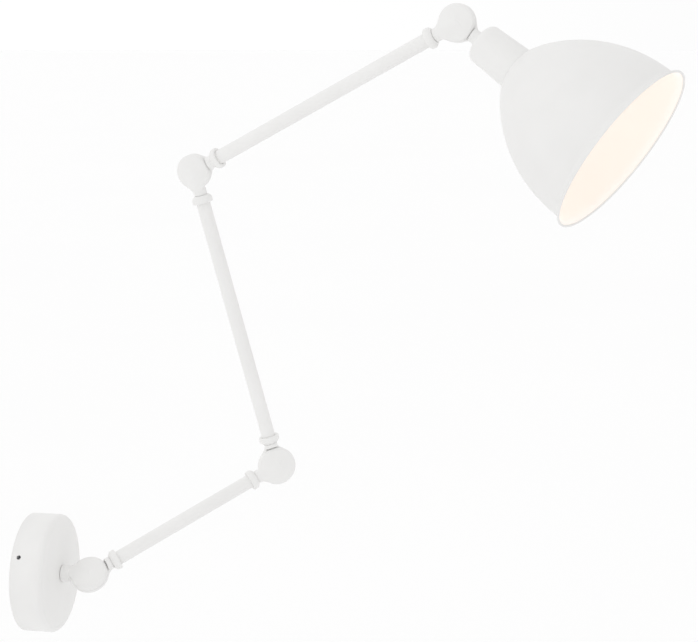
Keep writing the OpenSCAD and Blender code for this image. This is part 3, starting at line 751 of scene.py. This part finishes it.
# ------------------------------------------------------------------- operators
class SCONCE_OT_wall_plate(bpy.types.Operator):
    """Canopy, grub screws and the fittings behind the canopy"""

    bl_idname = "sconce.wall_plate"
    bl_label = "Wall Plate"

    def canopy(self, sizes):
        """A spun cover with a rounded front edge and a slightly domed face."""
        low, high = measure("canopy", WALL)
        radius, depth = high.x, high.z

        def half(r, top, edge):
            flat = r - edge
            dome = (flat * flat + sizes.rise ** 2) / (2 * sizes.rise)
            reach = [flat - (flat - sizes.hole) * step / 8 for step in range(1, 9)]
            crown = [(x, top - dome + math.sqrt(dome * dome - x * x)) for x in reach]
            return arc((flat, top - sizes.rise - edge), edge, 0, 90) + crown

        outer = half(radius, depth, sizes.edge)
        inner = half(radius - sizes.sheet, depth - sizes.sheet, sizes.edge - sizes.sheet)
        lip = 0.25 * sizes.sheet
        outline = [(radius - lip, 0), (radius, lip)] + outer + inner[::-1] + [(radius - sizes.sheet, 0)]
        cover = turned("canopy_blank", outline, segments=192)
        cover.transform(WALL)
        merge(cover)
        start, end = radius - DRILL_REACH, radius + DRILL_REACH
        drill = turned("drill", [(0, start), (sizes.grub_hole, start), (sizes.grub_hole, end),
                                 (0, end)], closed=False, segments=48)
        bored = bore("canopy_spun", cover, circle_of(drill, "drills", self.grub_height(), GRUBS))
        settle("canopy_spun", bored, Matrix.Identity(4), "canopy", sharp=50)

    def grub_height(self):
        """How far the grub screws stand from the wall."""
        low, high = measure("canopy_screws", WALL)
        return (low.z + high.z) / 2

    def grub_screws(self, sizes):
        """Three grub screws with a key's socket, pointing out through the canopy's edge."""
        low, high = measure("canopy_screws", WALL)
        tip = -low.x
        shank = sizes.grub_hole - FIT
        start = tip - sizes.grub_length
        point = start - sizes.grub_cone
        floor = tip - sizes.grub_depth
        break_edge = 0.15 * MM
        outline = [(0, floor), (sizes.grub_key, floor), (sizes.grub_key, tip - break_edge),
                   (sizes.grub_key + break_edge, tip)]
        outline += soften([(shank, tip), (shank, start), (0.6 * shank, point), (0, point)],
                          0.3 * MM, closed=False)
        screw = turned("grub_screw", outline, closed=False, segments=48, hex_until=3)
        mesh = circle_of(screw, "canopy_screws_machined", self.grub_height(), GRUBS)
        settle("canopy_screws_machined", mesh, Matrix.Identity(4), "canopy_screws", sharp=35)

    def execute(self, context):
        sizes = context.scene.sconce_plate
        self.canopy(sizes)
        self.grub_screws(sizes)
        for node, edge in (("wall_bracket", 0.3), ("terminal_block", 0.5), ("earth_screw", 0.3),
                           ("stiffener", 0.2), ("swivel_nut", 0.3)):
            refined(node, node + "_finished", edge)
        return {"FINISHED"}


def circle_of(mesh, name, height, count):
    """The mesh repeated about the wall's normal by a Geometry Nodes tree, one straight down."""
    part = bpy.data.objects.new(mesh.name, mesh)
    bpy.context.scene.collection.objects.link(part)
    tree = ShapeTree("Repeat around the normal")
    original = tree.input("Part", "Object")
    number = tree.input("Count", "Int")
    lift = tree.input("Height")
    points = tree.add("GeometryNodePoints", inputs={"Count": number})
    turn = tree.add("GeometryNodeInputIndex") * math.tau / number + math.pi
    spin = tree.add("ShaderNodeCombineXYZ", inputs={"X": turn})
    shift = tree.add("ShaderNodeCombineXYZ", inputs={"X": lift})
    copies = tree.add("GeometryNodeInstanceOnPoints", inputs={
        "Points": points, "Rotation": spin,
        "Instance": tree.add("GeometryNodeObjectInfo", inputs={"Object": original}, out="Geometry")})
    placed = tree.add("GeometryNodeTranslateInstances",
                      inputs={"Instances": copies, "Translation": shift, "Local Space": False})
    tree.finish(placed, (FINISH["black_steel"], None))
    result = tree.run(name, Part=part, Count=count, Height=height)
    bpy.data.objects.remove(part)
    return result


class SCONCE_OT_knuckles(bpy.types.Operator):
    """Cast halves of the four knuckles, with their pivot screws"""

    bl_idname = "sconce.knuckles"
    bl_label = "Knuckles"

    def stub(self, sizes):
        """The wall stub: a cast half on a turned post with a nipple through the canopy."""
        low, high = measure("wall_stub", SEATS["stub"])
        face = high.z - sizes.spigot
        step = 1 * MM
        start = high.x + sizes.neck_gap + step

        def post_and_nipple(body, from_arm, z):
            turned_post = smooth_max(from_arm - sizes.post, np.abs(z - (start + face) / 2)
                                     - (face - start) / 2, sizes.soft)
            nipple = np.maximum(from_arm - sizes.nipple, np.abs(z - face) - sizes.spigot)
            return np.minimum(smooth_min(body, turned_post, 1.5 * sizes.soft), nipple)

        knuckle_half("wall_stub_cast", "wall_stub", "stub", start + step, extra=post_and_nipple)

    def head_rear(self, sizes):
        """The head's half with a flared foot on the cup."""
        low, high = measure("lampholder_cup", SEATS["head"])
        face = low.z

        def flared_foot(body, from_arm, z):
            spread = np.clip((z - face + sizes.foot) / sizes.foot, 0, 1)
            cone = np.maximum(from_arm - sizes.neck - sizes.foot_spread * spread ** 1.5,
                              np.maximum(face - sizes.foot - z, z - face))
            nipple = np.maximum(from_arm - sizes.nipple, np.abs(z - face) - sizes.head_nipple)
            return np.minimum(smooth_min(body, cone, sizes.soft), nipple)

        knuckle_half("head_knuckle_rear_cast", "head_knuckle_rear", "head",
                     face - sizes.foot / 2, rear=True, extra=flared_foot)

    def pivot_screw(self, node, seat_name, sizes):
        """A socket screw in the rear counterbore, its head's edge rounded."""
        low, high = measure(node, SEATS[seat_name])
        head, top, end = high.x, -low.y, -high.y
        seat_at = top - sizes.screw_head
        shank, key = sizes.screw_shank, sizes.screw_key
        floor = seat_at + sizes.screw_web
        outline = [(0, floor), (key, floor), (key, top - 0.25 * MM), (key + 0.3 * MM, top)]
        outline += soften([(head, top), (head, seat_at), (shank, seat_at), (shank, end), (0, end)],
                          0.5 * MM, closed=False)
        mesh = turned(node + "_machined", outline, closed=False, segments=72, hex_until=3)
        along_pivot = SEATS[seat_name] @ Matrix.Rotation(math.radians(90), 4, "X")
        settle(node + "_machined", mesh, along_pivot, node, sharp=40)

    def execute(self, context):
        sizes = context.scene.sconce_knuckles
        self.stub(sizes)
        tube_low, tube_high = measure("arm_1_tube", SEATS["arm_1"])
        bore = tube_high.x - context.scene.sconce_arms.wall
        end = sizes.neck_end
        spigot = (bore - FIT, end + sizes.spigot)
        for node, seat_name, rear in (("arm_1_knuckle", "arm_1_knuckle", True),
                                      ("elbow_1_front", "arm_1_end", False),
                                      ("elbow_1_rear", "arm_2_knuckle", True),
                                      ("elbow_2_front", "arm_2_end", False),
                                      ("elbow_2_rear", "arm_3", True),
                                      ("head_knuckle_front", "head_knuckle", False)):
            knuckle_half(node + "_cast", node, seat_name, end, spigot=spigot, rear=rear)
        self.head_rear(sizes)
        for node, seat_name in (("wall_pivot_screw", "stub"), ("elbow_1_pivot_screw", "arm_1_end"),
                                ("elbow_2_pivot_screw", "arm_2_end"),
                                ("head_pivot_screw", "head_knuckle")):
            self.pivot_screw(node, seat_name, sizes)
        return {"FINISHED"}


class SCONCE_OT_arms(bpy.types.Operator):
    """Drawn tubes, turned collars and lock screws"""

    bl_idname = "sconce.arms"
    bl_label = "Arms"

    def tube(self, node, seat_name, sizes):
        """A drawn tube with broken edges at its ends. Gives its radius."""
        low, high = measure(node, SEATS[seat_name])
        radius = high.x
        bore = radius - sizes.wall
        outline = soften([(bore, low.z), (radius, low.z), (radius, high.z), (bore, high.z)],
                         0.3 * MM)
        settle(node + "_drawn", turned(node, outline), SEATS[seat_name], node)
        return radius

    def collar(self, node, seat_name, sizes, knuckles, tube_radius):
        """A collar with a lip, a taper and a plain band, edges rounded."""
        low, high = measure(node, SEATS[seat_name])
        lip = knuckles.neck + sizes.lip
        band = knuckles.neck_end + sizes.taper
        start = knuckles.neck_end + sizes.shoulder
        bore = tube_radius - sizes.wall
        outline = [(bore, low.z), (lip, low.z), (high.x, band), (high.x, high.z),
                   (tube_radius + sizes.mouth, high.z), (tube_radius, high.z - sizes.mouth),
                   (tube_radius, start), (bore, start)]
        settle(node + "_turned", turned(node, soften(outline, sizes.round)), SEATS[seat_name], node)

    def execute(self, context):
        sizes = context.scene.sconce_arms
        knuckles = context.scene.sconce_knuckles
        for arm in ("arm_1", "arm_2", "arm_3"):
            radius = self.tube(arm + "_tube", arm, sizes)
            swivel, fixed = (arm, arm + "_end") if arm != "arm_3" else (arm + "_end", arm)
            for kind, seat_name in (("_swivel_collar", swivel), ("_end_collar", fixed)):
                self.collar(arm + kind, seat_name, sizes, knuckles, radius)
            refined(arm + "_lock_screw", arm + "_lock_screw_finished", 0.1)
        return {"FINISHED"}


class SCONCE_OT_shade(bpy.types.Operator):
    """Spun bell shade with a flared, beaded rim"""

    bl_idname = "sconce.shade"
    bl_label = "Shade"

    def bell_tree(self):
        """A bell by rule: a grid bent into an outside wall, a rim and an inside wall."""
        tree = ShapeTree("Bell shade")
        hole, flat, rim = (tree.input(name) for name in ("Hole", "Flat", "Rim"))
        top, height, sheet = (tree.input(name) for name in ("Top", "Height", "Sheet"))
        power_out, power_along = tree.input("Power out"), tree.input("Power along")
        flare, angle = tree.input("Flare"), tree.input("Flare angle")
        bead, drop = tree.input("Bead"), tree.input("Bead drop")
        segments = tree.input("Segments", "Int")
        grid = tree.add("GeometryNodeMeshGrid", inputs={
            "Size X": 1.0, "Size Y": 1.0, "Vertices X": segments + 1, "Vertices Y": 121})
        at = tree.add("GeometryNodeInputPosition")
        around = tree.add("ShaderNodeSeparateXYZ", inputs={0: at}, out="X") * math.tau
        along = tree.add("ShaderNodeSeparateXYZ", inputs={0: at}, out="Y") + 0.5
        inside = along.over(0.5)
        back = 1.0 - (along * 2.0 - 1.0).math("ABSOLUTE")
        inset = sheet * inside * (1.0 - along.over(0.9999))
        flat_end, bell_end = 0.05, 0.86
        on_flat = back.share(0.0, flat_end)
        on_bell = back.share(flat_end, bell_end) * (math.pi / 2)
        on_flare = back.share(bell_end, 1.0) * angle
        wide = on_bell.math("SINE").math("MAXIMUM", 0.0) ** power_out
        deep = 1.0 - on_bell.math("COSINE").math("MAXIMUM", 0.0) ** power_along
        turn = flare + inset
        inner_flat = flat - inset * 0.5
        radius = (hole + (inner_flat - hole) * on_flat + (rim - inset - inner_flat) * wide
                  + turn * (1.0 - on_flare.math("COSINE")))
        level = top + inset + (height - inset) * deep + turn * on_flare.math("SINE")
        point = tree.add("ShaderNodeCombineXYZ", inputs={
            "X": radius * around.math("COSINE"), "Y": radius * around.math("SINE"), "Z": level})
        marked = tree.add("GeometryNodeStoreNamedAttribute", {"data_type": "FLOAT", "domain": "POINT"},
                          {"Geometry": grid, "Name": "lining", "Value": along.over(0.502)})
        bent = tree.add("GeometryNodeSetPosition", inputs={"Geometry": marked, "Position": point})
        sewn = tree.add("GeometryNodeMergeByDistance", inputs={"Geometry": bent, "Distance": 1e-6})
        hoop = tree.add("GeometryNodeCurvePrimitiveCircle", {"mode": "RADIUS"}, {
            "Resolution": segments,
            "Radius": rim + flare * (1.0 - angle.math("COSINE")) - sheet * 0.25})
        wire = tree.add("GeometryNodeCurvePrimitiveCircle", {"mode": "RADIUS"},
                        {"Resolution": 20, "Radius": bead})
        roll = tree.add("GeometryNodeCurveToMesh", inputs={"Curve": hoop, "Profile Curve": wire})
        lift = tree.add("ShaderNodeCombineXYZ", inputs={
            "Z": top + height + flare * angle.math("SINE") + drop})
        bead_ring = tree.add("GeometryNodeTransform", inputs={"Geometry": roll, "Translation": lift})
        whole = tree.add("GeometryNodeJoinGeometry", inputs={"Geometry": sewn})
        tree.tree.links.new(bead_ring.socket, whole.socket.node.inputs["Geometry"])
        lining = tree.add("GeometryNodeInputNamedAttribute", {"data_type": "FLOAT"},
                          {"Name": "lining"})
        tree.finish(whole, (FINISH["shade_enamel"], None),
                    (FINISH["shade_inside"], lining.over(0.5)))
        return tree

    def execute(self, context):
        sizes = context.scene.sconce_shade
        low, high = measure("shade", SEATS["head"])
        rim = high.x - sizes.flare * (1 - math.cos(sizes.flare_angle)) - sizes.bead
        flare_height = sizes.flare * math.sin(sizes.flare_angle)
        height = high.z - low.z - flare_height - sizes.bead - sizes.bead_drop
        values = {"Hole": bore_of("shade", SEATS["head"]), "Flat": sizes.flat, "Rim": rim,
                  "Top": low.z, "Height": height, "Sheet": sizes.sheet,
                  "Power out": 2 / sizes.round_top, "Power along": 2 / sizes.round_rim,
                  "Flare": sizes.flare, "Flare angle": sizes.flare_angle, "Bead": sizes.bead,
                  "Bead drop": sizes.bead_drop, "Segments": sizes.segments}
        mesh = self.bell_tree().run("shade_spun", **values)
        settle("shade_spun", mesh, SEATS["head"], "shade")
        return {"FINISHED"}


class SCONCE_OT_lampholder(bpy.types.Operator):
    """Cup, lampholder, thread shell and clamping ring"""

    bl_idname = "sconce.lampholder"
    bl_label = "Lampholder"

    def cup(self, sizes):
        """The painted cup with a rounded shoulder."""
        low, high = measure("lampholder_cup", SEATS["head"])
        radius, start, end = high.x, low.z, high.z
        wall, shoulder = sizes.cup_wall, sizes.shoulder
        outer = arc((sizes.cup_top - shoulder, start + shoulder), shoulder, -90, 0, 14)
        inner = arc((sizes.cup_top - shoulder, start + shoulder), shoulder - wall, 0, -90, 10)
        rim = soften([(radius, end - 1 * MM), (radius, end), (radius - wall, end),
                      (radius - wall, end - 1 * MM)], 0.4 * MM, closed=False)
        outline = [(sizes.nipple, start)] + outer + rim + inner + [(sizes.nipple, start + wall)]
        settle("lampholder_cup_spun", turned("lampholder_cup_spun", outline, segments=128),
               SEATS["head"], "lampholder_cup", sharp=50)

    def thread_shell(self, sizes):
        """A rolled thread: a grid bent into a thin wall whose radius follows a helix."""
        low, high = measure("socket_shell", SEATS["head"])
        tree = ShapeTree("Rolled thread")
        radius, start, height = (tree.input(name) for name in ("Radius", "Start", "Height"))
        depth, wall, turns = tree.input("Depth"), tree.input("Wall"), tree.input("Turns")
        grid = tree.add("GeometryNodeMeshGrid", inputs={
            "Size X": 1.0, "Size Y": 1.0, "Vertices X": 97, "Vertices Y": 197})
        at = tree.add("GeometryNodeInputPosition")
        around = tree.add("ShaderNodeSeparateXYZ", inputs={0: at}, out="X") * math.tau
        along = tree.add("ShaderNodeSeparateXYZ", inputs={0: at}, out="Y") + 0.5
        back = 1.0 - (along * 2.0 - 1.0).math("ABSOLUTE")
        inner = along.over(0.5) * (1.0 - along.over(0.9999))
        wave = (back * turns * math.tau - around).math("COSINE") * 0.5 + 0.5
        fade = back.share(0.0, 0.08) * (1.0 - back.share(0.92, 1.0))
        reach = radius - depth * wave * fade - wall * inner
        point = tree.add("ShaderNodeCombineXYZ", inputs={
            "X": reach * around.math("COSINE"), "Y": reach * around.math("SINE"),
            "Z": start + height * back})
        bent = tree.add("GeometryNodeSetPosition", inputs={"Geometry": grid, "Position": point})
        sewn = tree.add("GeometryNodeMergeByDistance", inputs={"Geometry": bent, "Distance": 1e-6})
        tree.finish(sewn, (FINISH["brass"], None))
        mesh = tree.run("socket_shell_rolled", Radius=high.x, Start=low.z, Height=high.z - low.z,
                        Depth=sizes.thread, Wall=sizes.shell, Turns=float(sizes.turns))
        settle("socket_shell_rolled", mesh, SEATS["head"], "socket_shell")

    def execute(self, context):
        sizes = context.scene.sconce_head
        self.cup(sizes)
        self.thread_shell(sizes)
        refined("lampholder", "lampholder_moulded", 0.4)
        refined("shade_ring", "shade_ring_moulded", 0.35)
        refined("cup_nut", "cup_nut_finished", 0.3)
        return {"FINISHED"}


class SCONCE_OT_hardware(bpy.types.Operator):
    """Finishes for the CAD pieces that are shown as they are"""

    bl_idname = "sconce.hardware"
    bl_label = "Hardware"

    def execute(self, context):
        for node, piece in frame["nodes"].items():
            piece.data.materials.clear()
            piece.data.materials.append(FINISH[SLOT_OF[node]])
        return {"FINISHED"}


class SCONCE_OT_stage(bpy.types.Operator):
    """Camera, pale floor and soft lights"""

    bl_idname = "sconce.stage"
    bl_label = "Stage"

    def lamp(self, name, place, target, size, power):
        """A large square light that faces a point."""
        light = bpy.data.lights.new(name, "AREA")
        light.energy = power
        light.size = size
        holder = bpy.data.objects.new(name, light)
        bpy.context.scene.collection.objects.link(holder)
        holder.location = place
        holder.rotation_euler = (Vector(target) - Vector(place)).to_track_quat("-Z", "Y").to_euler()

    def execute(self, context):
        studio = context.scene.sconce_studio
        scene = context.scene
        camera = bpy.data.cameras.new("camera")
        camera.lens = studio.lens
        camera.sensor_width = 36
        camera.clip_end = 2 * studio.floor_size
        eye = bpy.data.objects.new("camera", camera)
        scene.collection.objects.link(eye)
        eye.location = studio.eye
        eye.rotation_euler = (math.pi / 2 - studio.elevation, 0, studio.azimuth)
        scene.camera = eye

        sky = bpy.data.worlds.new("studio_sky")
        sky.use_nodes = True
        tree = Tree(sky.node_tree)
        sideways = tree.add("ShaderNodeSeparateXYZ", inputs={
            0: tree.add("ShaderNodeTexCoord", out="Generated")}, out="X")
        even = tree.add("ShaderNodeBackground", inputs={
            "Color": (1, 1, 1, 1), "Strength": studio.sky - studio.lean * sideways})
        tree.add("ShaderNodeOutputWorld", inputs={"Surface": even})
        scene.world = sky
        scene.view_settings.view_transform = "Standard"

        low, high = Vector(CAD_BOX[0]), Vector(CAD_BOX[1])
        middle = (low + high) / 2
        self.lamp("key", middle + Vector((-1.2, -1.6, 1.7)), middle, 1.4, studio.key)

        edit = bmesh.new()
        bmesh.ops.create_circle(edit, cap_ends=True, segments=96, radius=studio.floor_size)
        bmesh.ops.translate(edit, verts=edit.verts, vec=(middle.x, middle.y, -studio.floor_drop))
        mesh = bpy.data.meshes.new("floor")
        edit.to_mesh(mesh)
        edit.free()
        mesh.materials.append(pale_floor("pale_floor"))
        floor = bpy.data.objects.new("floor", mesh)
        scene.collection.objects.link(floor)
        return {"FINISHED"}


class SCONCE_PT_builder(bpy.types.Panel):
    """Lists the builders and their sizes"""

    bl_idname = "SCONCE_PT_builder"
    bl_label = "Wall Sconce"
    bl_space_type = "VIEW_3D"
    bl_region_type = "UI"
    bl_category = "Sconce"

    def draw(self, context):
        for group, builders in GROUPS:
            box = self.layout.box()
            for builder in builders:
                box.operator(builder.bl_idname)
            sizes = getattr(context.scene, group)
            for name in sizes.__annotations__:
                box.prop(sizes, name)


SIZES = {
    "sconce_plate": WallPlateSizes,
    "sconce_knuckles": KnuckleSizes,
    "sconce_arms": ArmSizes,
    "sconce_shade": ShadeSizes,
    "sconce_head": HeadSizes,
    "sconce_finishes": Finishes,
    "sconce_studio": Studio,
}
GROUPS = (
    ("sconce_finishes", (SCONCE_OT_hardware,)),
    ("sconce_plate", (SCONCE_OT_wall_plate,)),
    ("sconce_knuckles", (SCONCE_OT_knuckles,)),
    ("sconce_arms", (SCONCE_OT_arms,)),
    ("sconce_shade", (SCONCE_OT_shade,)),
    ("sconce_head", (SCONCE_OT_lampholder,)),
    ("sconce_studio", (SCONCE_OT_stage,)),
)
CLASSES = (*SIZES.values(), *(b for _, builders in GROUPS for b in builders), SCONCE_PT_builder)


def register():
    for cls in CLASSES:
        bpy.utils.register_class(cls)
    for name, cls in SIZES.items():
        setattr(bpy.types.Scene, name, PointerProperty(type=cls))


def unregister():
    for name in SIZES:
        delattr(bpy.types.Scene, name)
    for cls in reversed(CLASSES):
        bpy.utils.unregister_class(cls)


def main():
    register()
    make_finishes(bpy.context.scene.sconce_finishes)
    bpy.ops.sconce.stage()
    bpy.ops.sconce.hardware()
    bpy.ops.sconce.wall_plate()
    bpy.ops.sconce.knuckles()
    bpy.ops.sconce.arms()
    bpy.ops.sconce.shade()
    bpy.ops.sconce.lampholder()


if __name__ == "__main__":
    main()
